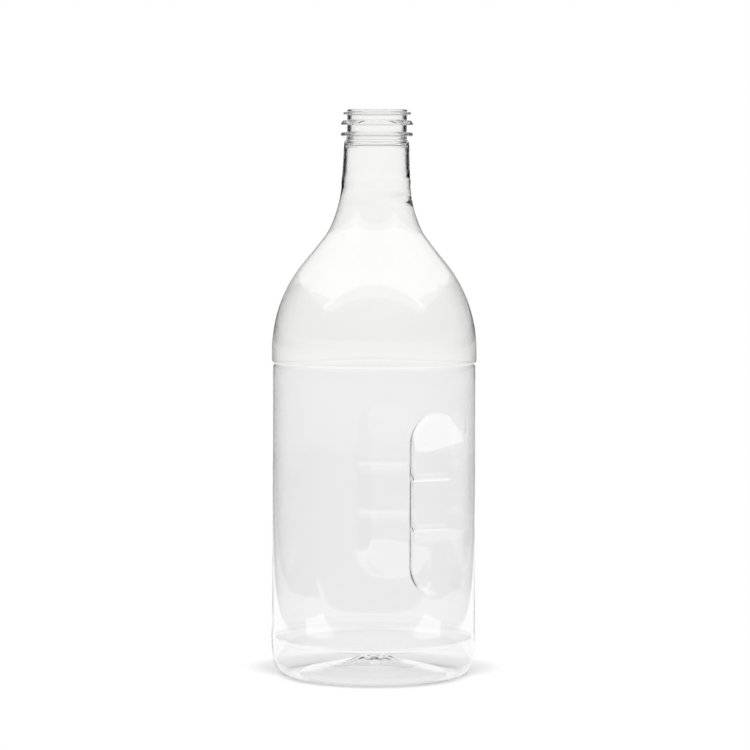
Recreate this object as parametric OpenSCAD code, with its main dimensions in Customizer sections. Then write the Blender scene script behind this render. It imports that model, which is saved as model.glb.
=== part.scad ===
// Small clear blow-moulded carboy with a pinch grip.
// One continuous wall: neck finish, neck, shoulder, body, grip pockets, foot and push-up base.
// The standing ring lies on z = 0, the axis is Z and the web between the two pockets faces +X.

/* [Overall] */
// Height from the standing ring to the lip
height = 296; // [286:1:330]

/* [Walls] */
// Wall of the blown body and shoulder
body_wall = 0.4; // [0.3:0.05:1]
// Wall of the foot and the push-up
foot_wall = 0.8; // [0.5:0.05:1.5]
// Wall of the neck finish
finish_wall = 1.55; // [1.2:0.05:2]
// Wall of the thick neck under the finish
neck_wall = 1.5; // [1:0.05:2]

/* [Neck finish] */
// Outer diameter of the plain tube between the rings
finish_d = 30.8; // [27:0.1:36]
// Depth of the tube from the lip down to the neck step
finish_h = 15.7; // [14.8:0.1:20]
// Diameter of the thin ring under the lip
lip_ring_d = 35.2; // [32:0.1:40]
// Thickness of the thin ring
lip_ring_t = 1.5; // [1:0.1:2]
// Distance from the lip to the middle of the thin ring
lip_ring_drop = 2.1; // [1.6:0.1:2.8]
// Diameter of the catch ring
catch_ring_d = 37.7; // [34:0.1:41]
// Thickness of the catch ring
catch_ring_t = 2.2; // [1.6:0.1:2.8]
// Distance from the lip to the middle of the catch ring
catch_ring_drop = 6.9; // [5.8:0.1:7.8]
// Width of the sloping shoulder on the catch ring
catch_slope = 1.1; // [0.5:0.1:1.4]
// Diameter of the round-edged lower ring
low_ring_d = 37.7; // [34:0.1:41]
// Thickness of the lower ring
low_ring_t = 2; // [1.4:0.1:2.4]
// Distance from the lip to the middle of the lower ring
low_ring_drop = 13; // [11.5:0.1:13.5]

/* [Neck] */
// Outer diameter of the neck just below the finish step
neck_top_d = 33.6; // [31:0.1:38]
// Outer diameter of the neck where the flare starts
neck_low_d = 35.9; // [34:0.1:42]
// Length of the neck from the finish step to the flare
neck_h = 24.3; // [20:0.1:34]
// Rounding of the step between finish and neck
step_round = 1.3; // [0.5:0.1:1.5]
// Height of the thin blown collar above the flare
collar_h = 3.4; // [2:0.1:6]
// Radius that the blown collar stands out past the thick neck
collar_step = 0.5; // [0.2:0.05:1]
// Slope of the neck where it meets the flare
neck_slope = 5; // [2:0.5:9]

/* [Shoulder] */
// Slope of the straight middle of the shoulder
shoulder_slope = 39; // [32:0.5:44]
// Radius of the rounded shoulder
shoulder_r = 73; // [50:1:90]
// Radius of the tighter part of the flare, next to the shoulder
flare_low_r = 32; // [20:1:44]
// Radius of the wider part of the flare, next to the neck
flare_top_r = 64; // [40:1:80]
// Slope at which the flare changes from one radius to the other
flare_turn = 24; // [15:0.5:30]
// Height of the plain belt under the rounded shoulder
belt_h = 4; // [2:0.1:10]
// Radius that the belt stands out past the body
belt_step = 0.65; // [0.2:0.05:2]
// Rounding at the lower edge of the belt
belt_round = 2.2; // [1:0.1:4]

/* [Body] */
// Body diameter just under the groove
body_d = 105.8; // [98:0.2:114]
// Radius that the body gains on its way down to the foot ledge
body_flare = 0.35; // [0:0.05:1]
// Depth of the groove below the body surface
groove_depth = 1; // [0.5:0.1:2]
// Width of the groove under the belt
groove_w = 2.6; // [1.6:0.1:4]
// Rounding of the upper body edge at the groove
groove_round = 0.8; // [0.4:0.1:1.2]

/* [Foot] */
// Height of the middle of the foot ledge
ledge_z = 20.2; // [17:0.2:26]
// Radius that the ledge stands out past the body
ledge_step = 0.5; // [0.3:0.05:1.5]
// Rounding of the ledge
ledge_round = 1.4; // [1:0.1:2]
// Radius of the long curve in the foot band
band_r = 60; // [45:1:90]
// Rounding of the heel
heel_r = 10; // [7:0.5:13]
// Width of the flat standing ring
stand_w = 1.6; // [0.8:0.1:3]

/* [Push-up] */
// Rounding on the inside of the standing ring
rim_r = 4; // [2:0.5:6]
// Steepest slope of the push-up, next to the standing ring
rim_slope = 40; // [25:1:55]
// Radius that blends the rim into the cone
blend_r = 8; // [5:0.5:12]
// Slope of the push-up cone
punt_slope = 12; // [8:0.5:16]
// Diameter of the thick gate boss
gate_d = 22; // [16:0.5:28]
// Height of the gate boss above the cone inside the bottle
gate_rise = 2.2; // [1:0.1:4]
// Diameter of the gate nub under the base
nub_d = 5; // [3:0.2:7]
// Height of the gate nub
nub_h = 1.2; // [0.6:0.1:2]

/* [Grip] */
// Distance between the two pocket floors
grip_t = 77; // [68:0.5:84]
// Height of each pocket
grip_h = 93; // [80:1:104]
// Width of each pocket, measured across the pull direction
grip_w = 34.4; // [28:0.2:40]
// Distance from the axis to the front edge of each pocket
grip_front = 4.45; // [0:0.05:8]
// Height of the pocket middle above the middle of the body
grip_rise = 2.1; // [-6:0.1:6]
// Slope of the steep front wall away from the pull direction
grip_draft = 20; // [10:0.5:30]
// Length of the sloping end of each pocket
ramp_run = 19; // [12:0.5:24]

/* [Finger ribs] */
// Number of ribs in each pocket
rib_count = 2; // [1:1:3]
// Spacing of the ribs
rib_pitch = 26.3; // [14:0.1:28]
// Height of each rib
rib_h = 1.2; // [0.6:0.1:2]
// Width of each rib on the pocket floor
rib_w = 4.4; // [3.6:0.1:6]
// Width of each rib where it climbs the front wall
wall_rib_w = 3.2; // [2.6:0.1:3.5]
// Distance from the axis to the end of each rib
rib_end = 31; // [24:0.5:34]
// Distance that each rib stops short of the front edge
rib_stop = 3; // [1:0.2:6]

/* [Hidden] */
$fn = 160;
arc_step = 3;
overlap = 1;
reach = 60;

// Levels, worked out from the lip downwards and from the standing ring upwards
finish_r = finish_d / 2;
step_z = height - finish_h;
neck_top_r = neck_top_d / 2;
neck_low_r = neck_low_d / 2;
flare_z = step_z - neck_h;
collar_z = flare_z + collar_h;
body_r = body_d / 2;
belt_r = body_r + belt_step;
cone_len = (belt_r - neck_low_r
    - shoulder_r * (1 - cos(shoulder_slope))
    - flare_low_r * (cos(flare_turn) - cos(shoulder_slope))
    - flare_top_r * (cos(neck_slope) - cos(flare_turn))) / sin(shoulder_slope);
belt_top_z = flare_z - shoulder_r * sin(shoulder_slope) - cone_len * cos(shoulder_slope)
    - flare_low_r * (sin(shoulder_slope) - sin(flare_turn))
    - flare_top_r * (sin(flare_turn) - sin(neck_slope));
belt_low_z = belt_top_z - belt_h;
groove_top_z = belt_low_z - belt_round * sin(60);
groove_low_z = groove_top_z - groove_w;
foot_r = body_r + body_flare;
band_top_r = foot_r + ledge_step / 2;
band_top_z = ledge_z - ledge_round;
heel_x = band_top_r - band_r + sqrt((band_r - heel_r) ^ 2 - (band_top_z - heel_r) ^ 2);
heel_turn = asin((band_top_z - heel_r) / (band_r - heel_r));
stand_in_r = heel_x - stand_w;

// Push-up: rim rounding, blend and cone, each tangent to the next
rim_x = stand_in_r - rim_r * sin(rim_slope);
rim_z = rim_r * (1 - cos(rim_slope));
blend_x = rim_x - blend_r * sin(rim_slope);
blend_z = rim_z - blend_r * cos(rim_slope);
cone_x = blend_x + blend_r * sin(punt_slope);
cone_z = blend_z + blend_r * cos(punt_slope);
gate_r = gate_d / 2;
gate_z = cone_z + (cone_x - gate_r) * tan(punt_slope);

// Grip: outline centre, depth and slopes, all taken from the body surface
grip_z = (ledge_z + groove_low_z) / 2 + grip_rise;
grip_floor = grip_t / 2;
grip_end_r = grip_w / 2;
grip_x = grip_front + grip_end_r;
grip_body_r = body_r + body_flare * (groove_low_z - grip_z) / (groove_low_z - ledge_z);
front_depth = sqrt(grip_body_r ^ 2 - grip_front ^ 2) - grip_floor;
mid_depth = sqrt(grip_body_r ^ 2 - grip_x ^ 2) - grip_floor;
grip_half = grip_h / 2 - grip_end_r + (front_depth - mid_depth) * tan(grip_draft);
ramp_slope = atan(mid_depth / ramp_run);
grip_foot_x = grip_front + front_depth * tan(grip_draft);
rib_r = cap_r(rib_w, rib_h);
wall_rib_r = cap_r(wall_rib_w, rib_h);

// Radius of a round cap, w wide and h high
function cap_r(w, h) = ((w / 2) ^ 2 + h ^ 2) / (2 * h);

// Points along an arc from angle a to angle b
function arc(x, z, r, a, b) =
    let (n = max(2, ceil(abs(b - a) / arc_step)))
    [for (i = [0:n]) [x + r * cos(a + (b - a) * i / n), z + r * sin(a + (b - a) * i / n)]];

// Underside from the gate out to the heel, set in by w
function foot_line(w) = concat(
    arc(blend_x, blend_z, blend_r + w, 90 - punt_slope, 90 - rim_slope),
    arc(stand_in_r, rim_r, rim_r - w, 270 - rim_slope, 270),
    arc(heel_x, heel_r, heel_r - w, 270, 360 - heel_turn));

// Foot band, ledge and body, set in by w
function body_line(w) = concat(
    arc(band_top_r - band_r, band_top_z, band_r - w, -heel_turn, 0),
    arc(foot_r + ledge_step - ledge_round - w / 2, ledge_z, ledge_round - w / 2, -35, 35),
    [[foot_r - w, ledge_z + ledge_round]],
    arc(body_r - groove_round - w / 2, groove_low_z - groove_round, groove_round - w / 2, 0, 60),
    [[body_r - groove_depth - w, (groove_low_z + groove_top_z) / 2]]);

// Belt, rounded shoulder and flare up to the neck, set in by w
function shoulder_line(w) = concat(
    arc(belt_r - belt_round, belt_low_z, belt_round - w, -60, 0),
    arc(belt_r - shoulder_r, belt_top_z, shoulder_r - w, 0, shoulder_slope),
    arc(neck_low_r + flare_top_r * (cos(neck_slope) - cos(flare_turn))
            + flare_low_r * cos(flare_turn),
        flare_z - flare_top_r * (sin(flare_turn) - sin(neck_slope)) + flare_low_r * sin(flare_turn),
        flare_low_r + w, 180 + shoulder_slope, 180 + flare_turn));

// Upper part of the flare, set in by w at its foot and by w_top at the neck
function flare_line(w) =
    arc(neck_low_r + flare_top_r * cos(neck_slope), flare_z + flare_top_r * sin(neck_slope),
        flare_top_r + w, 180 + flare_turn, 180 + neck_slope);

// Everything inside the outer surface, before the pockets
module outer_form() {
    rotate_extrude()
        polygon(concat(
            [[0, gate_z], [gate_r, gate_z]],
            foot_line(0),
            body_line(0),
            shoulder_line(0),
            flare_line(0),
            [[neck_low_r, collar_z - collar_step], [neck_low_r - collar_step, collar_z + collar_step]],
            arc(neck_top_r - step_round, step_z - step_round, step_round, 0, 90),
            [[finish_r, step_z], [finish_r, height], [0, height]]));
}

// The hollow inside, before the pockets
module inner_form() {
    bore_r = finish_r - finish_wall;
    rotate_extrude()
        polygon(concat(
            [[0, gate_z + foot_wall + gate_rise],
             [gate_r * 0.6, gate_z + foot_wall + gate_rise],
             [gate_r, gate_z + foot_wall]],
            foot_line(foot_wall),
            body_line(body_wall),
            shoulder_line(body_wall),
            flare_line(body_wall),
            [[neck_low_r - collar_step - neck_wall, collar_z + collar_step + neck_wall],
             [neck_top_r - neck_wall, step_z - step_round - neck_wall],
             [bore_r, step_z],
             [bore_r, height + overlap],
             [0, height + overlap]]));
}

// Drafted trough of a pocket, open towards the web and grown by g
module grip_trough(g) {
    low_r = grip_end_r - (front_depth + g) * tan(grip_draft) + g / cos(grip_draft);
    top_r = grip_end_r + (reach - front_depth) * tan(grip_draft) + g / cos(grip_draft);
    for (side = [-1, 1])
        translate([grip_x, side * grip_half, -g])
            cylinder(h = reach + g, r1 = low_r, r2 = top_r);
    translate([grip_x, 0, 0])
        rotate([90, 0, 0])
            linear_extrude(height = 2 * grip_half, center = true)
                polygon([[0, -g], [-low_r, -g], [-top_r, reach], [0, reach]]);
    translate([grip_x, -reach, -g])
        cube([reach, 2 * reach, reach + g]);
}

// Floor and sloping ends of a pocket, grown by g
module grip_ramps(g) {
    flat = grip_h / 2 - ramp_run + g * tan(ramp_slope / 2);
    top = flat + (reach + g) / tan(ramp_slope);
    translate([-reach, 0, 0])
        rotate([90, 0, 90])
            linear_extrude(height = 3 * reach)
                polygon([[-flat, -g], [flat, -g], [top, reach], [-top, reach]]);
}

// One finger rib across the floor and a slimmer one up the front wall, thinned and cut short by g
module grip_rib(g) {
    translate([grip_foot_x, 0, 0]) {
        translate([-overlap, 0, rib_h - rib_r])
            rotate([0, 90, 0])
                cylinder(h = rib_end - grip_foot_x + overlap - g, r = rib_r - g);
        rotate([0, -grip_draft, 0])
            translate([rib_h - wall_rib_r, 0, -overlap])
                cylinder(h = front_depth / cos(grip_draft) - rib_stop + overlap - g, r = wall_rib_r - g);
    }
}

// One pocket with its ribs left standing, grown by g, facing -Y
module grip_cut(g) {
    translate([0, -grip_floor, grip_z])
        rotate([90, 0, 0])
            difference() {
                intersection() {
                    grip_trough(g);
                    grip_ramps(g);
                }
                for (i = [0:rib_count - 1])
                    translate([0, (i - (rib_count - 1) / 2) * rib_pitch, 0])
                        grip_rib(g);
            }
}

// Both pockets, mirror images of each other
module grip_pair(g) {
    grip_cut(g);
    mirror([0, 1, 0])
        grip_cut(g);
}

// Plain ring with a rounded edge, t thick
module round_ring(d, t, drop) {
    rotate_extrude()
        union() {
            translate([finish_r - overlap / 2, height - drop - t / 2])
                square([d / 2 - t / 2 - finish_r + overlap / 2, t]);
            translate([d / 2 - t / 2, height - drop])
                circle(d = t);
        }
}

// Catch ring with a sloping top and a flat underside
module catch_ring() {
    low_z = height - catch_ring_drop - catch_ring_t / 2;
    edge_r = catch_ring_d / 2;
    rotate_extrude()
        polygon([
            [finish_r - overlap / 2, low_z],
            [edge_r, low_z],
            [edge_r, low_z + catch_ring_t * 0.2],
            [edge_r - catch_slope, low_z + catch_ring_t],
            [finish_r - overlap / 2, low_z + catch_ring_t]]);
}

// Gate nub under the push-up
module gate_nub() {
    translate([0, 0, gate_z - nub_h])
        cylinder(h = nub_h + foot_wall / 2, d = nub_d);
}

// The whole bottle, one wall with an open mouth
module bottle() {
    color([0.86, 0.9, 0.9, 0.4])
        union() {
            difference() {
                outer_form();
                grip_pair(0);
                difference() {
                    inner_form();
                    grip_pair(body_wall);
                }
            }
            round_ring(lip_ring_d, lip_ring_t, lip_ring_drop);
            catch_ring();
            round_ring(low_ring_d, low_ring_t, low_ring_drop);
            gate_nub();
        }
}

bottle();
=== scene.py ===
import math
import bpy
import numpy as np
from mathutils import Matrix


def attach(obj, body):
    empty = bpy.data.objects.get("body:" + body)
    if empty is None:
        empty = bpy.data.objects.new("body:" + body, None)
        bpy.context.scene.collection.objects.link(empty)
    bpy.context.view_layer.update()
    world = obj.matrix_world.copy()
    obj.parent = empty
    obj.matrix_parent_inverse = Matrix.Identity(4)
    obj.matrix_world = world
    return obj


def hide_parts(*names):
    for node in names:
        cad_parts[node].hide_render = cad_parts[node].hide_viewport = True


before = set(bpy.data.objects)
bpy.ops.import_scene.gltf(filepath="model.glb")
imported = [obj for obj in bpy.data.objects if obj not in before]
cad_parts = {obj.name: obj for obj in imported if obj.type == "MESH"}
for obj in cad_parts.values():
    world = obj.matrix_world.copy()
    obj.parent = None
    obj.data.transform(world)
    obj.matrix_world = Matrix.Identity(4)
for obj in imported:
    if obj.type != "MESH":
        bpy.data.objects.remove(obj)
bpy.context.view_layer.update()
print("frame loaded")

mm = 0.001  # the bottle's own sizes are in millimetres
scene = bpy.context.scene
scene.view_settings.view_transform = "Standard"
scene.cycles.max_bounces = 24
scene.cycles.transmission_bounces = 24
scene.cycles.glossy_bounces = 10
scene.cycles.diffuse_bounces = 6

studioTurn = -15.5  # degrees that the paper sweep and the camera are turned round the bottle


camera = {
    "lens": 170,
    "sensor": 36,
    "distance": 1847,
    "height": 272,
    "lookDown": 3.546,
    "roll": 0.165,
    "side": 0.4,
}


def makeCamera():
    c = camera
    data = bpy.data.cameras.new("photoCamera")
    data.lens = c["lens"]
    data.sensor_width = c["sensor"]
    data.clip_start = 0.01
    data.clip_end = 50
    cam = bpy.data.objects.new("photoCamera", data)
    scene.collection.objects.link(cam)
    turn = Matrix.Rotation(math.radians(studioTurn), 4, "Z")
    place = Matrix.Translation((c["side"] * mm, -c["distance"] * mm, c["height"] * mm))
    tilt = Matrix.Rotation(math.radians(90 - c["lookDown"]), 4, "X")
    roll = Matrix.Rotation(math.radians(c["roll"]), 4, "Z")
    cam.matrix_world = turn @ place @ tilt @ roll
    scene.camera = cam


makeCamera()
print("camera set")


def arc(centre, start, end, steps):
    # the centre is given as (radius, height, radius of the round itself)
    cx, cz, r = centre
    out = []
    for i in range(steps + 1):
        a = math.radians(start + (end - start) * i / steps)
        out.append((cx + r * math.cos(a), cz + r * math.sin(a)))
    return out


def rounded(points):
    # corners as (radius, height, rounding), each turned into a short arc with a guard row on long sides
    out = []
    guard = 0.12
    for i, (x, z, r) in enumerate(points):
        here = np.array((x, z))
        if i == 0 or i == len(points) - 1 or r == 0:
            out.append((x, z))
            continue
        before = np.array(points[i - 1][:2]) - here
        after = np.array(points[i + 1][:2]) - here
        lb = np.linalg.norm(before)
        la = np.linalg.norm(after)
        before /= lb
        after /= la
        half = math.acos(max(-1, min(1, before @ after))) / 2
        cut = min(r / math.tan(half), 0.46 * lb, 0.46 * la)
        r = cut * math.tan(half)
        middle = here + (before + after) / np.linalg.norm(before + after) * r / math.sin(half)
        start = here + before * cut
        end = here + after * cut
        if lb - 2 * cut > 3 * guard:
            out.append(tuple(start + before * guard))
        for t in (0, 0.33, 0.67, 1):
            p = start * (1 - t) + end * t - middle
            out.append(tuple(middle + p / np.linalg.norm(p) * r))
        if la - 2 * cut > 3 * guard:
            out.append(tuple(end + after * guard))
    return out


foot = {
    "gatePoles": (8.08, 9.9),  # middle of the gate, outside and inside
    "gateNub": [(1.2, 8.1), (2.0, 8.15), (2.4, 8.4), (2.6, 8.8), (2.9, 9.1), (3.4, 9.2)],
    "gateBump": [(5.5, 9.25), (7.4, 9.2), (8.6, 9.0), (9.6, 8.6), (10.6, 8.15), (11.6, 7.8), (12.6, 7.45)],
    "domeEdge": (35.07, 2.63),
    "domeSlope": 12,
    "domeRows": (15, 18.5, 22, 26, 30, 33, 34.3),
    "domeBend": (33.41, -5.195, 8),
    "standing": (41.12, 4, 4),
    "heel": (42.72, 10, 10),
    "side": (-6.5, 18.8, 60),
    "ledge": [  # soft step where the foot meets the body
        (53.43, 18.6), (53.42, 18.9), (53.43, 19.2), (53.48, 19.5), (53.56, 19.8), (53.63, 20.1),
        (53.67, 20.4), (53.68, 20.8), (53.64, 21.3), (53.56, 21.9), (53.46, 22.6), (53.37, 23.4),
        (53.29, 24.3)],
}


def underside():
    # from the gate nub out to the heel and up over the ledge
    edgeR, edgeZ = foot["domeEdge"]
    slope = math.tan(math.radians(foot["domeSlope"]))
    rows = foot["gateNub"] + foot["gateBump"]
    rows += [(r, edgeZ + (edgeR - r) * slope) for r in foot["domeRows"]]
    rows += arc(foot["domeBend"], 78, 50, 5)
    rows += arc(foot["standing"], 232, 268, 5)
    rows += arc(foot["heel"], 270, 349.86, 14)
    rows += arc(foot["side"], -8.6, -1.2, 4)
    return rows + foot["ledge"]


body = {
    "radius": 52.9,
    "flare": 0.35,  # how much wider it is at the foot
    "flareLength": 138,
    "top": 161,
    "grooveZ": 163.3,
    "beltR": 53.55,
    "ribRows": (-1.9, -1.6, -1.2, -0.8, -0.4, 0, 0.5, 1.1, 1.8, 2.6, 3.5, 4.2),
}


def bodyHeights():
    # rows close together at the ribs and at the pocket ends
    zs = list(np.arange(26, 44, 3.2))
    zs += list(np.arange(44.6, 60, 1.3))
    zs += list(np.arange(60.4, 76.4, 1.9))
    for rib in grip["ribs"]:
        zs += list(rib + np.array(body["ribRows"]))
    zs += list(np.arange(84.8, 102.4, 2.0))
    zs += list(np.arange(110.8, 128, 1.8))
    zs += list(np.arange(129, 143, 1.3))
    zs += list(np.arange(144.4, 160, 3.2))
    return sorted(zs)


def bodyRows():
    b = body
    return [(b["radius"] + b["flare"] * (b["top"] - z) / b["flareLength"], z) for z in bodyHeights()]


def grooveAndBelt():
    rows = [(52.89, body["top"]), (52.89, 162.3), (52.84, 162.6), (52.7, 162.85), (52.56, 163.05)]
    rows += [(52.47, body["grooveZ"]), (52.46, 163.6), (52.52, 163.86), (52.68, 164.06), (53.2, 164.58)]
    rows += [(53.38, 164.78), (53.5, 165.05)]
    rows += [(body["beltR"], z) for z in (165.5, 167.0, 168.8)]
    return rows


shoulder = {
    "round": (-19.45, 170.53, 73),
    "turn": 39,
    "straight": 15.38,
    "lowFlare": 32,
    "flareTurn": 24,
    "highFlare": 64,
    "flareEnd": 5,
}


def shoulderRows():
    # the big round, a straight stretch, then the two radii of the flare up to the collar
    s = shoulder
    rows = arc(s["round"], 0, s["turn"], 22)
    a = math.radians(s["turn"])
    x, z = rows[-1]
    for i in (1, 2, 3):
        run = s["straight"] * i / 4
        rows.append((x - run * math.sin(a), z + run * math.cos(a)))
    cx = x - s["straight"] * math.sin(a) + s["lowFlare"] * math.cos(a)
    cz = z + s["straight"] * math.cos(a) + s["lowFlare"] * math.sin(a)
    rows += arc((cx, cz, s["lowFlare"]), 180 + s["turn"], 180 + s["flareTurn"], 6)
    b = math.radians(s["flareTurn"])
    extra = s["highFlare"] - s["lowFlare"]
    centre = (cx + extra * math.cos(b), cz + extra * math.sin(b), s["highFlare"])
    rows += arc(centre, 180 + s["flareTurn"] - 1.5, 180 + s["flareEnd"], 9)
    return rows


neck = {
    "lean": 1.2,  # sideways for the first 100 mm above where it starts
    "leanFrom": 196,
    "leanPower": 1.3,
    "collar": (256.6, 265),
    "collarR": 17.56,  # on the left the collar fades into an even slope of this radius,
    "collarEase": 0.54,  # this much more at its foot
    "easeSpan": (256, 266),
    "tuck": 0.45,
    "tuckSpan": (265, 278),
}


def neckRows():
    # collar, then the nearly straight neck
    rows = [(18.1, 257.4), (18.08, 258.6), (18.02, 259.2), (17.92, 259.7), (17.82, 260.1), (17.74, 260.6)]
    rows += [(17.68, 261.4), (17.64, 263), (17.56, 265.5), (17.44, 269), (17.28, 272.5), (17.12, 275.5)]
    rows += [(16.98, 277.6)]
    rows += arc((15.5, 279.0, 1.3), 0, 84, 6)
    return rows


finish = {
    "tubeR": 15.65,
    "boreR": 14.15,
    "top": 296.0,
    "lowRing": (17.85, 283.02, 1.0),
    "middleRingR": 18.86,
    "highRing": (16.92, 293.9, 0.75),
}


def finishRows():
    # the tube with its three level rings, up to the lip and over into the bore
    f = finish
    tube = f["tubeR"]
    bore = f["boreR"]
    ring = f["middleRingR"]
    rows = rounded([
        (15.6, 280.32, 0), (15.8, 280.42, 0.15), (15.94, 281.1, 0.3), (15.7, 281.75, 0.15),
        (tube, 282.0, 0.12), (17.6, 282.02, 0)])
    rows += arc(f["lowRing"], -80, 80, 10)
    rows += rounded([
        (17.6, 284.02, 0), (tube, 284.05, 0.3), (tube, 288.0, 0.25), (ring - 0.11, 287.9, 0.12),
        (ring, 288.5, 0.25), (17.85, 290.15, 0.35), (tube, 290.25, 0.3), (tube, 293.15, 0.25),
        (16.9, 293.15, 0)])
    rows += arc(f["highRing"], -75, 75, 8)
    rows += rounded([
        (16.9, 294.65, 0), (tube, 294.7, 0.25), (tube, f["top"], 0.35), (bore, f["top"], 0.35),
        (bore, 294.6, 0)])
    return rows


def boreRows():
    # the bore from the lip downwards, widening into the neck
    rows = [(finish["boreR"], z) for z in (292, 287, 282)]
    rows += [(14.16, 281), (14.22, 280.2), (14.4, 279.4), (14.75, 278.5), (15.1, 277.6), (15.4, 276.6)]
    return rows


def columnAngles():
    # degrees from +X, dense where the pockets' steep wall and web edge run
    half = list(np.linspace(0, 34, 11)) + list(np.linspace(35.5, 56, 17)) + list(np.linspace(58, 73, 8))
    half += list(np.linspace(74, 87.5, 24)) + list(np.linspace(90, 180, 27))
    half = np.array(half)
    return np.concatenate([half, -half[1:-1][::-1]])


def softMin(a, b, k):
    return np.minimum(a, b) - np.maximum(k - np.abs(a - b), 0) ** 2 / (4 * k)


def ridge(x, above, below):
    # one high at the middle, easing down over one length above it and another below
    reach = np.where(x > 0, above, below)
    return np.where(np.abs(x) < reach, 0.5 + 0.5 * np.cos(np.pi * x / reach), 0)


def step(x, low, high):
    t = np.clip((x - low) / (high - low), 0, 1)
    return t * t * (3 - 2 * t)


grip = {
    "middle": 93.5,
    "floor": 38.5,
    "front": 4.45,
    "endR": 17.2,
    "height": 93,
    "mouthR": 53.13,  # radius of the body where the pocket opens
    "draft": 22.5,
    "rampRun": 19,
    "tilt": 0.15,  # how much deeper the floor lies for each millimetre towards the web
    "tiltFrom": 10,
    "frontRound": 1.7,
    "webRound": 2,
    "endRound": 1.5,
    "footRound": 2.2,
    "rampRound": 2.5,
    "foldFrom": 19,
    "foldRise": 0.22,  # how much later the end ramp starts for each millimetre towards the web
    "stepTop": 14.6,  # the front pocket's lower ramp starts this far down, with a short steep step
    "stepRun": 4.2,
    "stepSlope": 0.8,
    "ribs": (80.1, 106.4),
    "ribHeight": 1.1,
    "ribAbove": 3.7,
    "ribAboveFar": 2.6,
    "ribBelow": 1.8,
    "ribEnd": 31,
    "ribStop": 2.6,
    "webSpan": (14, 34),  # where the rim's rounding changes to that at the web
    "endSpan": (-8, 4),  # and to that at the pocket's ends
}


def pocketDepth(r, angle, z):
    # how deep a point lies inside the nearer pocket, negative outside it, and the rounding of the rim there
    g = grip
    draft = math.radians(g["draft"])
    mouth = g["mouthR"]
    cx = g["front"] + g["endR"]
    frontDepth = math.sqrt(mouth ** 2 - g["front"] ** 2) - g["floor"]
    midDepth = math.sqrt(mouth ** 2 - cx ** 2) - g["floor"]
    footR = g["endR"] - frontDepth * math.tan(draft)
    half = g["height"] / 2 - g["endR"] + (frontDepth - midDepth) * math.tan(draft)
    flat = g["height"] / 2 - g["rampRun"]
    dz = z - g["middle"]
    nearSide = np.sin(angle) < 0
    x = r * np.cos(angle)
    w = r * np.abs(np.sin(angle))
    h = w - g["floor"] + g["tilt"] * (x - g["tiltFrom"])

    # ramps at both ends of the floor
    past = np.maximum(x - cx, 0)
    fold = flat + g["foldRise"] * np.maximum(x - g["foldFrom"], 0)
    outline = half + np.sqrt(np.maximum(g["endR"] ** 2 - past ** 2, 0))
    depth = np.sqrt(mouth ** 2 - (cx + past) ** 2) - g["floor"] + g["tilt"] * (cx + past - g["tiltFrom"])
    stepped = nearSide & (dz < 0)
    fold = np.where(stepped, g["stepTop"] + g["stepRun"], fold)
    depth = np.where(stepped, depth - g["stepRun"] * g["stepSlope"], depth)
    slope = np.maximum(depth, 0.5) / np.maximum(outline - fold, 3)
    along = np.abs(dz) - fold
    k = g["rampRound"]
    along = np.maximum(along, 0) + np.maximum(k - np.abs(along), 0) ** 2 / (4 * k)
    rise = along * slope + stepped * g["stepSlope"] * np.clip(-dz - g["stepTop"], 0, g["stepRun"])

    # finger ribs, fading out towards the web and up the steep wall
    ribTop = np.where(nearSide, g["ribAbove"], g["ribAboveFar"])
    rib = sum(ridge(z - at, ribTop, g["ribBelow"]) for at in g["ribs"]) * g["ribHeight"]
    floorRib = rib * (1 - step(x, g["ribEnd"] - 2, g["ribEnd"] + 1))
    wallRib = rib * (1 - step(h, frontDepth - g["ribStop"] - 2.5, frontDepth - g["ribStop"]))

    floorGap = (h - rise) / np.where(np.abs(dz) < fold, 1, np.sqrt(1 + slope ** 2)) - floorRib
    ends = np.maximum(np.abs(dz) - half, 0)
    reach = np.sqrt(np.minimum(x - cx, 0) ** 2 + ends ** 2)
    wallGap = (footR + h * math.tan(draft) - reach) * math.cos(draft) - wallRib
    nearEnd = step(np.abs(dz), half + g["endSpan"][0], half + g["endSpan"][1])
    edge = g["frontRound"] + (g["endRound"] - g["frontRound"]) * nearEnd
    edge = edge + (g["webRound"] - edge) * step(x, *g["webSpan"])
    return softMin(floorGap, wallGap, g["footRound"]), edge


def bodySurface(angle, z, baseR):
    # how far out the wall stands on each ray from the axis, pockets taken out, found by halving
    low = np.full_like(baseR, 30.0)
    high = baseR + 0.5
    for _ in range(28):
        mid = (low + high) / 2
        pocket, edge = pocketDepth(mid, angle, z)
        inside = softMin(baseR - mid, -pocket, edge) > 0
        low = np.where(inside, mid, low)
        high = np.where(inside, high, mid)
    return (low + high) / 2


def gridNormals(x, y, z):
    # rows run up the outside, columns run round the axis
    def along(a):
        d = np.empty_like(a)
        d[1:-1] = a[2:] - a[:-2]
        d[0] = a[1] - a[0]
        d[-1] = a[-1] - a[-2]
        return d

    def around(a):
        return np.roll(a, -1, 1) - np.roll(a, 1, 1)

    u = np.stack([around(x), around(y), around(z)], -1)
    v = np.stack([along(x), along(y), along(z)], -1)
    n = np.cross(u, v)
    return n / np.linalg.norm(n, axis=-1, keepdims=True)


def outerSkin(angle, left):
    # radius, height and angle of every outside point, rows running up from the gate to the lip
    lower = underside()
    middle = bodyRows()
    rows = np.array(lower + middle + grooveAndBelt() + shoulderRows() + neckRows() + finishRows())
    radius = np.repeat(rows[:, :1], len(angle), 1)
    height = np.repeat(rows[:, 1:], len(angle), 1)
    turned = np.repeat(angle[None], len(rows), 0)
    part = slice(len(lower), len(lower) + len(middle))
    radius[part] = bodySurface(turned[part], height[part], radius[part])
    bottom, top = neck["collar"]
    eased = neck["collarR"] + neck["collarEase"] * (1 - step(height, *neck["easeSpan"]))
    share = np.clip(0.5 + left, 0, 1) * ((height > bottom) & (height < top))
    return radius + (eased - radius) * share, height, turned


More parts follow.
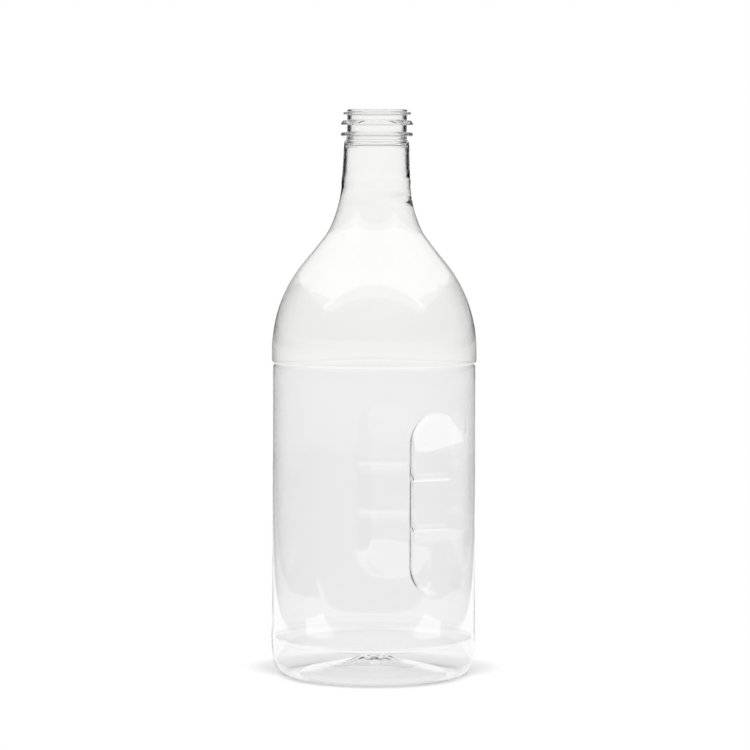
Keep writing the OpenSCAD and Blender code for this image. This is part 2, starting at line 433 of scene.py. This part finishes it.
wall = {
    "body": 0.45,
    "foot": 0.5,
    "footSpan": (14, 34),
    "neck": 1.35,
    "uneven": 0.12,  # share by which the wall varies
    "grooveThinner": 0.45,  # share that the wall loses at the groove
    "grooveReach": 8,
    "dome": 0.1,
    "domeSpan": (11, 30),
    "domeTop": 12,
    "thinAt": 258.6,  # height where the thick neck gives way to the thin shoulder
    "thinLower": 2.4,  # so much lower on the left, and higher on the right
    "thinSpan": 5.5,
    "thinWider": 2.5,
    "bead": 0.6,  # small bead inside the right of the neck
    "beadZ": 249,
    "beadReach": 3,
    "rowGap": 0.4,  # inner rows of the shoulder that come closer than this are left out
    "allRowsBelow": 170,
    "flareOverlap": 5,  # rows at the top of the flare that the neck's own inner rows stand in for
}


def wobble(angle, z, seed):
    # slow unevenness of a blown wall, about -1 to 1
    s = seed * 1.7
    return (np.sin(angle * 2 + 0.021 * z + s) + 0.6 * np.sin(angle * 3 - 0.034 * z + 2.1 * s)
            + 0.5 * np.sin(angle * 5 + 0.05 * z + 3.3 * s) + 0.4 * np.sin(0.09 * z + 0.7 * s)) / 2.5


def wallHere(radius, height, turned):
    # thickness of the blown wall at every outside point
    w = wall
    thick = w["body"] + (w["foot"] - w["body"]) * (1 - step(height, *w["footSpan"]))
    thick = thick * (1 + w["uneven"] * wobble(turned, height, 1))
    groove = ridge(height - body["grooveZ"], w["grooveReach"], w["grooveReach"])
    thick = thick * (1 - w["grooveThinner"] * groove)
    return thick + w["dome"] * (1 - step(radius, *w["domeSpan"])) * (height < w["domeTop"])


def level(r, angle, z):
    return (r * np.cos(angle), r * np.sin(angle), np.full_like(angle, z))


def neckInside(angle, left):
    # the neck's inner rows downwards, where the thick wall thins out unevenly into the shoulder
    w = wall
    flare = np.array(grooveAndBelt() + shoulderRows())
    thinAt = w["thinAt"] - w["thinLower"] * left
    thinSpan = w["thinSpan"] + w["thinWider"] * left
    rows = []
    for z in [274, 270, 267, 265, 263.3] + list(np.arange(261.8, 247, -1.4)):
        outside = np.interp(z, flare[:, 1], flare[:, 0]) - neck["collarEase"] * step(z, *neck["easeSpan"])
        outside = outside - neck["tuck"] * step(z, *neck["tuckSpan"])
        thick = w["body"] + (w["neck"] - w["body"]) * step(z, thinAt - thinSpan, thinAt + thinSpan)
        bead = ridge(z - w["beadZ"], w["beadReach"], w["beadReach"]) * np.maximum(-left, 0) ** 2
        rows.append(level(outside - thick - w["bead"] * bead, angle, z))
    return rows


def gateInside(angle):
    # crumpled inner face of the gate boss, each row as radius, height and how much it ripples
    ripple = 0.2 * np.sin(angle * 5 + 0.6) + 0.2 * np.sin(angle * 9 + 2)
    gate = [(11.7, 8.35, 0.1), (10.7, 8.75, 0.3), (9.7, 9.25, 0.7), (8.7, 9.75, 1)]
    gate += [(7.5, 10, 0.8), (5.5, 10.05, -0.6), (3.6, 9.95, 0.5), (1.8, 9.9, 0.2)]
    return [(r * np.cos(angle), r * np.sin(angle), z + k * ripple) for r, z, k in gate]


def bottlePoints(angle):
    # outside rows from gate to lip, then the inside rows from the lip back down to the gate
    left = np.cos(angle - math.radians(180 + studioTurn))
    radius, height, turned = outerSkin(angle, left)
    x = radius * np.cos(turned)
    y = radius * np.sin(turned)
    inset = gridNormals(x, y, height) * wallHere(radius, height, turned)[..., None]
    inner = [level(r, angle, z) for r, z in boreRows()] + neckInside(angle, left)
    firstShell = len(foot["gateNub"]) + len(foot["gateBump"])
    lastShell = len(underside() + bodyRows() + grooveAndBelt() + shoulderRows()) - wall["flareOverlap"]
    for i in range(lastShell, firstShell - 1, -1):
        z = height[i] - inset[i, :, 2]
        if z.mean() < inner[-1][2].mean() - wall["rowGap"] or height[i, 0] < wall["allRowsBelow"]:
            inner.append((x[i] - inset[i, :, 0], y[i] - inset[i, :, 1], z))
    inner += gateInside(angle)
    skin = np.concatenate([np.stack([x, y, height], 1), np.array(inner)])
    xs, ys, zs = skin[:, 0], skin[:, 1], skin[:, 2]

    # the real neck leans a little to the right
    lean = neck["lean"] * np.maximum((zs - neck["leanFrom"]) / 100, 0) ** neck["leanPower"]
    xs = xs + lean * math.cos(math.radians(studioTurn))
    ys = ys + lean * math.sin(math.radians(studioTurn))
    return np.stack([xs, ys, zs], -1) * mm


def makeBottle():
    points = bottlePoints(np.radians(columnAngles()))
    total, count = points.shape[:2]
    poles = np.array([(0, 0, z) for z in foot["gatePoles"]]) * mm
    faces = []
    for i in range(total - 1):
        a = i * count
        c = a + count
        for j in range(count):
            k = (j + 1) % count
            faces.append((a + j, a + k, c + k, c + j))
    under = total * count
    last = under - count
    for j in range(count):
        k = (j + 1) % count
        faces.append((under, k, j))
        faces.append((under + 1, last + j, last + k))
    mesh = bpy.data.meshes.new("bottle")
    mesh.from_pydata(np.concatenate([points.reshape(-1, 3), poles]).tolist(), [], faces)
    mesh.polygons.foreach_set("use_smooth", [True] * len(faces))
    mesh.update()
    obj = bpy.data.objects.new("clearBottle", mesh)
    scene.collection.objects.link(obj)
    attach(obj, "root")
    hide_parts("bottle")
    print("bottle rows", total, "columns", count, "faces", len(faces))
    return obj


def put(tree, socket, value):
    if hasattr(value, "links"):
        tree.links.new(value, socket)
    else:
        socket.default_value = value


def calc(tree, kind, *values):
    node = tree.nodes.new("ShaderNodeMath")
    node.operation = kind
    for socket, value in zip(node.inputs, values):
        put(tree, socket, value)
    return node.outputs[0]


def product(tree, *values):
    result = values[0]
    for value in values[1:]:
        result = calc(tree, "MULTIPLY", result, value)
    return result


def largest(tree, *values):
    result = values[0]
    for value in values[1:]:
        result = calc(tree, "MAXIMUM", result, value)
    return result


def oneMinus(tree, share):
    return calc(tree, "SUBTRACT", 1.0, share)


def length(tree, a, b):
    return calc(tree, "SQRT", calc(tree, "ADD", product(tree, a, a), product(tree, b, b)))


def ramp(tree, value, low, high, bottom=0.0, top=1.0):
    # smooth change from bottom to top as value goes from low to high
    node = tree.nodes.new("ShaderNodeMapRange")
    node.interpolation_type = "SMOOTHSTEP"
    for socket, v in zip(node.inputs, (value, low, high, bottom, top)):
        put(tree, socket, v)
    return node.outputs[0]


def above(tree, value, edge, soft):
    return ramp(tree, value, edge - soft, edge + soft)


def below(tree, value, edge, soft):
    return ramp(tree, value, edge - soft, edge + soft, 1.0, 0.0)


def band(tree, value, edges):
    # rises over the first two edges and falls over the last two
    return product(tree, ramp(tree, value, *edges[:2]), ramp(tree, value, *edges[2:], 1.0, 0.0))


def blendColour(tree, factor, a, b):
    node = tree.nodes.new("ShaderNodeMix")
    node.data_type = "RGBA"
    put(tree, node.inputs["Factor"], factor)
    put(tree, node.inputs[6], a)
    put(tree, node.inputs[7], b)
    return node.outputs[2]


def grey(v):
    return (v, v, v, 1)


plastic = {
    "tint": (0.988, 0.99, 0.989, 1),
    "ior": 1.575,
    "roughness": 0.02,
    "hazeScale": 30,
    "hazeRange": (0.35, 0.75),
    "waves": 0.02,
    "waveScale": 55,
    "waveHeight": 0.002,
}


def noise(tree, scale, detail):
    place = tree.nodes.new("ShaderNodeTexCoord")
    node = tree.nodes.new("ShaderNodeTexNoise")
    node.inputs["Scale"].default_value = scale
    node.inputs["Detail"].default_value = detail
    tree.links.new(place.outputs["Object"], node.inputs["Vector"])
    return node.outputs[0]


def clearPlastic():
    p = plastic
    mat = bpy.data.materials.new("clearPlastic")
    mat.use_nodes = True
    tree = mat.node_tree
    shader = tree.nodes["Principled BSDF"]
    shader.inputs["Base Color"].default_value = p["tint"]
    shader.inputs["IOR"].default_value = p["ior"]
    shader.inputs["Transmission Weight"].default_value = 1
    haze = ramp(tree, noise(tree, p["hazeScale"], 3), *p["hazeRange"], 0.0, p["roughness"])
    tree.links.new(haze, shader.inputs["Roughness"])
    dent = tree.nodes.new("ShaderNodeBump")
    dent.inputs["Strength"].default_value = p["waves"]
    dent.inputs["Distance"].default_value = p["waveHeight"]
    tree.links.new(noise(tree, p["waveScale"], 1), dent.inputs["Height"])
    tree.links.new(dent.outputs[0], shader.inputs["Normal"])
    return mat


# what surrounds the bottle; a clear bottle on white only shows what it mirrors and bends
studio = {
    "roomBehind": 0.2,  # grey of the room behind the camera
    "wallAhead": 0.4,  # and ahead, beside the sweep
    "wallSpan": (-0.2, 0.7),
    "tableBeside": 0.12,  # grey of the table beside the paper
    "tableAhead": 0.42,  # and ahead of the bottle
    "tableSpan": (-0.17, 0.69),
    "tableTop": (-0.02, 0.06),
    "skyline": 0.02,  # the darkest part of the room, at about the height of the bottle
    "skylineSpan": (-0.1, -0.03, 0.4, 0.55),  # as light sees it that has run along inside one wall
    "skylineStrip": (-0.022, -0.012, 0.04, 0.08),  # and as other light sees it
    "skinWalls": 2.5,  # light that passed fewer surfaces than this only ran inside one wall
    "stripWalls": 4.5,  # only light that passed fewer than this sees the strip
    "baseWalls": 5.5,  # light that passed more than this comes from the base
    "baseGather": 0.75,  # what the base gathers from many directions
    "overhead": 0.6,  # soft light high up
    "overheadFrom": (0.25, 0.3),
    "ceilingBack": 0.99,  # the soft light starts this far out towards the camera, for each unit of height
    "ceilingSide": 1.69,
    "ceilingSoft": 0.04,
    "sweepLow": (1.0, 1.0, 1.0, 1),  # white of the sweep as seen through the bottle
    "sweepHigh": (1.09, 1.09, 1.07, 1),
    "sweepRise": (-0.095, 0.0),
    "sweepTop": (0.22, 0.34),
    "sweepHalf": 0.3,  # half width of the sweep, for each unit of distance
    "mirrorHalf": 0.2,  # half width of the sweep in the mirror image of the bottle's side
    "sweepSoft": 0.02,
    "otherSides": 0.5,  # seen straight through from round the side, the studio is white all round
    "otherSoft": 0.05,
    "shadow": 0.62,  # light that reaches the floor through the bottle from the camera's side
    "shadowAhead": 1.144,  # and from the sweep
    "shadowSpan": (-0.1, 0.3),
    "lit": 1.04,
}


def rayKinds(tree):
    path = tree.nodes.new("ShaderNodeLightPath")
    mirrors = path.outputs["Glossy Depth"]
    walls = path.outputs["Transmission Depth"]
    return {
        "scattered": calc(tree, "GREATER_THAN", path.outputs["Diffuse Depth"], 0.5),
        "direct": path.outputs["Is Diffuse Ray"],
        "mirrored": calc(tree, "GREATER_THAN", mirrors, 0.5),
        "bent": calc(tree, "GREATER_THAN", calc(tree, "ADD", walls, mirrors), 0.5),
        "walls": walls,
    }


def studioAxes(tree, vector):
    # sideways, away from the camera and up, in the turned studio
    turn = tree.nodes.new("ShaderNodeVectorRotate")
    turn.rotation_type = "Z_AXIS"
    turn.inputs["Angle"].default_value = math.radians(-studioTurn)
    tree.links.new(vector, turn.inputs["Vector"])
    axis = tree.nodes.new("ShaderNodeSeparateXYZ")
    tree.links.new(turn.outputs[0], axis.inputs[0])
    x, y, z = axis.outputs
    flat = length(tree, x, y)
    ahead = calc(tree, "DIVIDE", y, largest(tree, flat, 0.0001))
    return x, y, z, flat, ahead


def tableGrey(tree, ahead):
    return ramp(tree, ahead, *studio["tableSpan"], studio["tableBeside"], studio["tableAhead"])


def fromOtherSides(tree, ahead, rays):
    away = below(tree, ahead, studio["otherSides"], studio["otherSoft"])
    return product(tree, oneMinus(tree, rays["mirrored"]), away)


def sweepShare(tree, x, y, z, rays):
    # the white sweep ahead; a plain mirror image, or light that ran along inside one wall, sees it narrower
    s = studio
    across = calc(tree, "ABSOLUTE", x)
    beside = calc(tree, "DIVIDE", across, largest(tree, y, 0.001))
    skin = product(tree, rays["mirrored"], calc(tree, "LESS_THAN", rays["walls"], s["skinWalls"]))
    beside = calc(tree, "ADD", beside, product(tree, skin, s["sweepHalf"] - s["mirrorHalf"]))
    high = ramp(tree, z, *s["sweepTop"], 1.0, 0.0)
    return product(tree, below(tree, beside, s["sweepHalf"], s["sweepSoft"]), high)


def ceilingShare(tree, x, y, z):
    s = studio
    up = largest(tree, z, 0.001)
    sideways = calc(tree, "DIVIDE", calc(tree, "ABSOLUTE", x), up)
    backwards = calc(tree, "DIVIDE", product(tree, y, -1.0), up)
    return product(
        tree, below(tree, sideways, s["ceilingSide"], s["ceilingSoft"]),
        below(tree, backwards, s["ceilingBack"], s["ceilingSoft"]), ramp(tree, z, *s["overheadFrom"]))


def skylineShare(tree, z, rays):
    s = studio
    walls = rays["walls"]
    edge = product(tree, rays["mirrored"], calc(tree, "COMPARE", walls, 2.0, 0.5))
    strip = product(tree, band(tree, z, s["skylineStrip"]), calc(tree, "LESS_THAN", walls, s["stripWalls"]))
    return largest(tree, strip, product(tree, band(tree, z, s["skylineSpan"]), edge))


def makeWorld():
    s = studio
    world = bpy.data.worlds.new("studio")
    scene.world = world
    world.use_nodes = True
    tree = world.node_tree
    place = tree.nodes.new("ShaderNodeTexCoord")
    x, y, z, flat, ahead = studioAxes(tree, place.outputs["Generated"])
    rays = rayKinds(tree)
    room = ramp(tree, ahead, *s["wallSpan"], s["roomBehind"], s["wallAhead"])
    room = blendColour(tree, ramp(tree, z, *s["tableTop"]), tableGrey(tree, ahead), room)
    room = blendColour(tree, skylineShare(tree, z, rays), room, grey(s["skyline"]))
    gathered = calc(tree, "GREATER_THAN", rays["walls"], s["baseWalls"])
    room = blendColour(tree, gathered, room, grey(s["baseGather"]))
    room = blendColour(tree, ceilingShare(tree, x, y, z), room, grey(s["overhead"]))
    white = blendColour(tree, ramp(tree, z, *s["sweepRise"]), s["sweepLow"], s["sweepHigh"])
    colour = blendColour(tree, sweepShare(tree, x, y, z, rays), room, white)
    colour = blendColour(tree, fromOtherSides(tree, ahead, rays), colour, grey(1.0))
    colour = blendColour(tree, rays["bent"], grey(1.0), colour)
    # light on its way to the floor
    through = ramp(tree, y, *s["shadowSpan"], s["shadow"], s["shadowAhead"])
    colour = blendColour(tree, rays["scattered"], colour, through)
    colour = blendColour(tree, rays["direct"], colour, grey(s["lit"]))
    tree.links.new(colour, tree.nodes["Background"].inputs["Color"])
    world.cycles.sampling_method = "NONE"


# lengths in metres from the bottle's axis
paper = {
    "radius": 1.3,
    "drop": 0.0002,
    "edgeSoft": 0.004,
    "frontEdge": -0.205,  # where the paper ends towards the camera
    "frontHalf": 0.30,
    "backFrom": -0.072,  # behind this line the paper is narrower
    "backHalf": 0.212,
    "widenFrom": -0.065,
    "widen": 0.07,
    "widenOver": 0.15,
    "farMirrorEdge": -0.095,  # painted reflection: in the far wall's mirror image the paper's front is painted dark grey, from here on
    "farMirrorSoft": 0.01,
    "farMirrorGrey": 0.15,
    "farWalls": 3.5,  # light that passed more surfaces than this comes from the far wall
}
# the bottle's shadow on the paper: part is real, in the light the matt paper receives, and part is painted
# shadow, where the paper's glow is darkened inside the oval
shadow = {
    "back": 0.03,  # a flat oval, its middle this far behind the axis
    "wide": 0.068,
    "deep": 0.055,
    "from": 0.75,  # it fades out from here, in shares of the oval's size,
    "to": 1.05,  # to here
    # painted shadow: the paper's glow is this grey inside darkFrom and turns white again by the oval's edge
    "darkFrom": 0.7,
    "dark": 0.8,
    "ownLight": 0.4,  # share of the floor's own light inside the oval
    "baseEdge": (0.043, 0.049),
    "underBase": 0.8,  # the same share under the base
    "ring": (0.039, 0.045, 0.046, 0.052),  # the foot stands here, and the share under it is less
    "ringLoss": 0.3,
    "farOff": (0.3, 0.55),  # out here the floor only has its own light
}


def paperShare(tree, x, y):
    # the paper's edges are only seen in and through the plastic
    p = paper
    soft = p["edgeSoft"]
    across = calc(tree, "ABSOLUTE", x)
    front = product(
        tree, above(tree, y, p["frontEdge"], soft), below(tree, y, p["backFrom"], soft),
        below(tree, across, p["frontHalf"], soft))
    past = largest(tree, calc(tree, "SUBTRACT", y, p["widenFrom"]), 0.0)
    widen = calc(tree, "DIVIDE", product(tree, past, p["widen"]), calc(tree, "ADD", past, p["widenOver"]))
    overhang = calc(tree, "SUBTRACT", across, widen)
    back = product(tree, above(tree, y, p["backFrom"], soft), below(tree, overhang, p["backHalf"], soft))
    return largest(tree, front, back)


def shadowReach(tree, x, y):
    wide = calc(tree, "DIVIDE", x, shadow["wide"])
    deep = calc(tree, "DIVIDE", calc(tree, "SUBTRACT", y, shadow["back"]), shadow["deep"])
    return length(tree, wide, deep)


def ownLight(tree, flat, reach, beneath):
    # share of the floor's own light, the rest is light that it receives
    s = shadow
    oval = product(tree, ramp(tree, reach, s["from"], s["to"], s["ownLight"], 1.0), oneMinus(tree, beneath))
    ring = product(tree, band(tree, flat, s["ring"]), s["ringLoss"])
    base = calc(tree, "SUBTRACT", product(tree, beneath, s["underBase"]), ring)
    return largest(tree, calc(tree, "ADD", oval, base), ramp(tree, flat, *s["farOff"]))


def whitePaper():
    mat = bpy.data.materials.new("whitePaper")
    mat.use_nodes = True
    tree = mat.node_tree
    tree.nodes.clear()
    place = tree.nodes.new("ShaderNodeNewGeometry")
    x, y, z, flat, ahead = studioAxes(tree, place.outputs["Position"])
    rays = rayKinds(tree)
    sheet = largest(tree, paperShare(tree, x, y), fromOtherSides(tree, ahead, rays))
    offPaper = product(tree, oneMinus(tree, sheet), rays["bent"])
    reach = shadowReach(tree, x, y)
    beneath = ramp(tree, flat, *shadow["baseEdge"], 1.0, 0.0)
    # painted shadow: the glow's white is darkened inside the oval behind the bottle, but not under the base
    white = largest(tree, beneath, ramp(tree, reach, shadow["darkFrom"], shadow["to"], shadow["dark"], 1.0))
    # painted reflection: light mirrored by the far wall sees the paper's front painted dark grey
    inFront = below(tree, y, paper["farMirrorEdge"], paper["farMirrorSoft"])
    far = calc(tree, "GREATER_THAN", rays["walls"], paper["farWalls"])
    farMirror = product(tree, rays["mirrored"], far, inFront)
    white = blendColour(tree, farMirror, white, grey(paper["farMirrorGrey"]))
    glow = tree.nodes.new("ShaderNodeEmission")
    tree.links.new(blendColour(tree, offPaper, white, tableGrey(tree, ahead)), glow.inputs["Color"])
    matt = tree.nodes.new("ShaderNodeBsdfDiffuse")
    matt.inputs["Color"].default_value = grey(1.0)
    mix = tree.nodes.new("ShaderNodeMixShader")
    tree.links.new(largest(tree, ownLight(tree, flat, reach, beneath), offPaper), mix.inputs[0])
    tree.links.new(matt.outputs[0], mix.inputs[1])
    tree.links.new(glow.outputs[0], mix.inputs[2])
    out = tree.nodes.new("ShaderNodeOutputMaterial")
    tree.links.new(mix.outputs[0], out.inputs["Surface"])
    return mat


def makeFloor():
    turns = 96
    steps = [2 * math.pi * i / turns for i in range(turns)]
    ring = [(paper["radius"] * math.cos(a), paper["radius"] * math.sin(a), 0) for a in steps]
    mesh = bpy.data.meshes.new("paperFloor")
    mesh.from_pydata(ring, [], [tuple(range(turns))])
    floor = bpy.data.objects.new("paperFloor", mesh)
    scene.collection.objects.link(floor)
    floor.location.z = -paper["drop"]
    mesh.materials.append(whitePaper())


bottle = makeBottle()
bottle.data.materials.append(clearPlastic())
print("bottle made")
makeWorld()
makeFloor()
print("studio made")
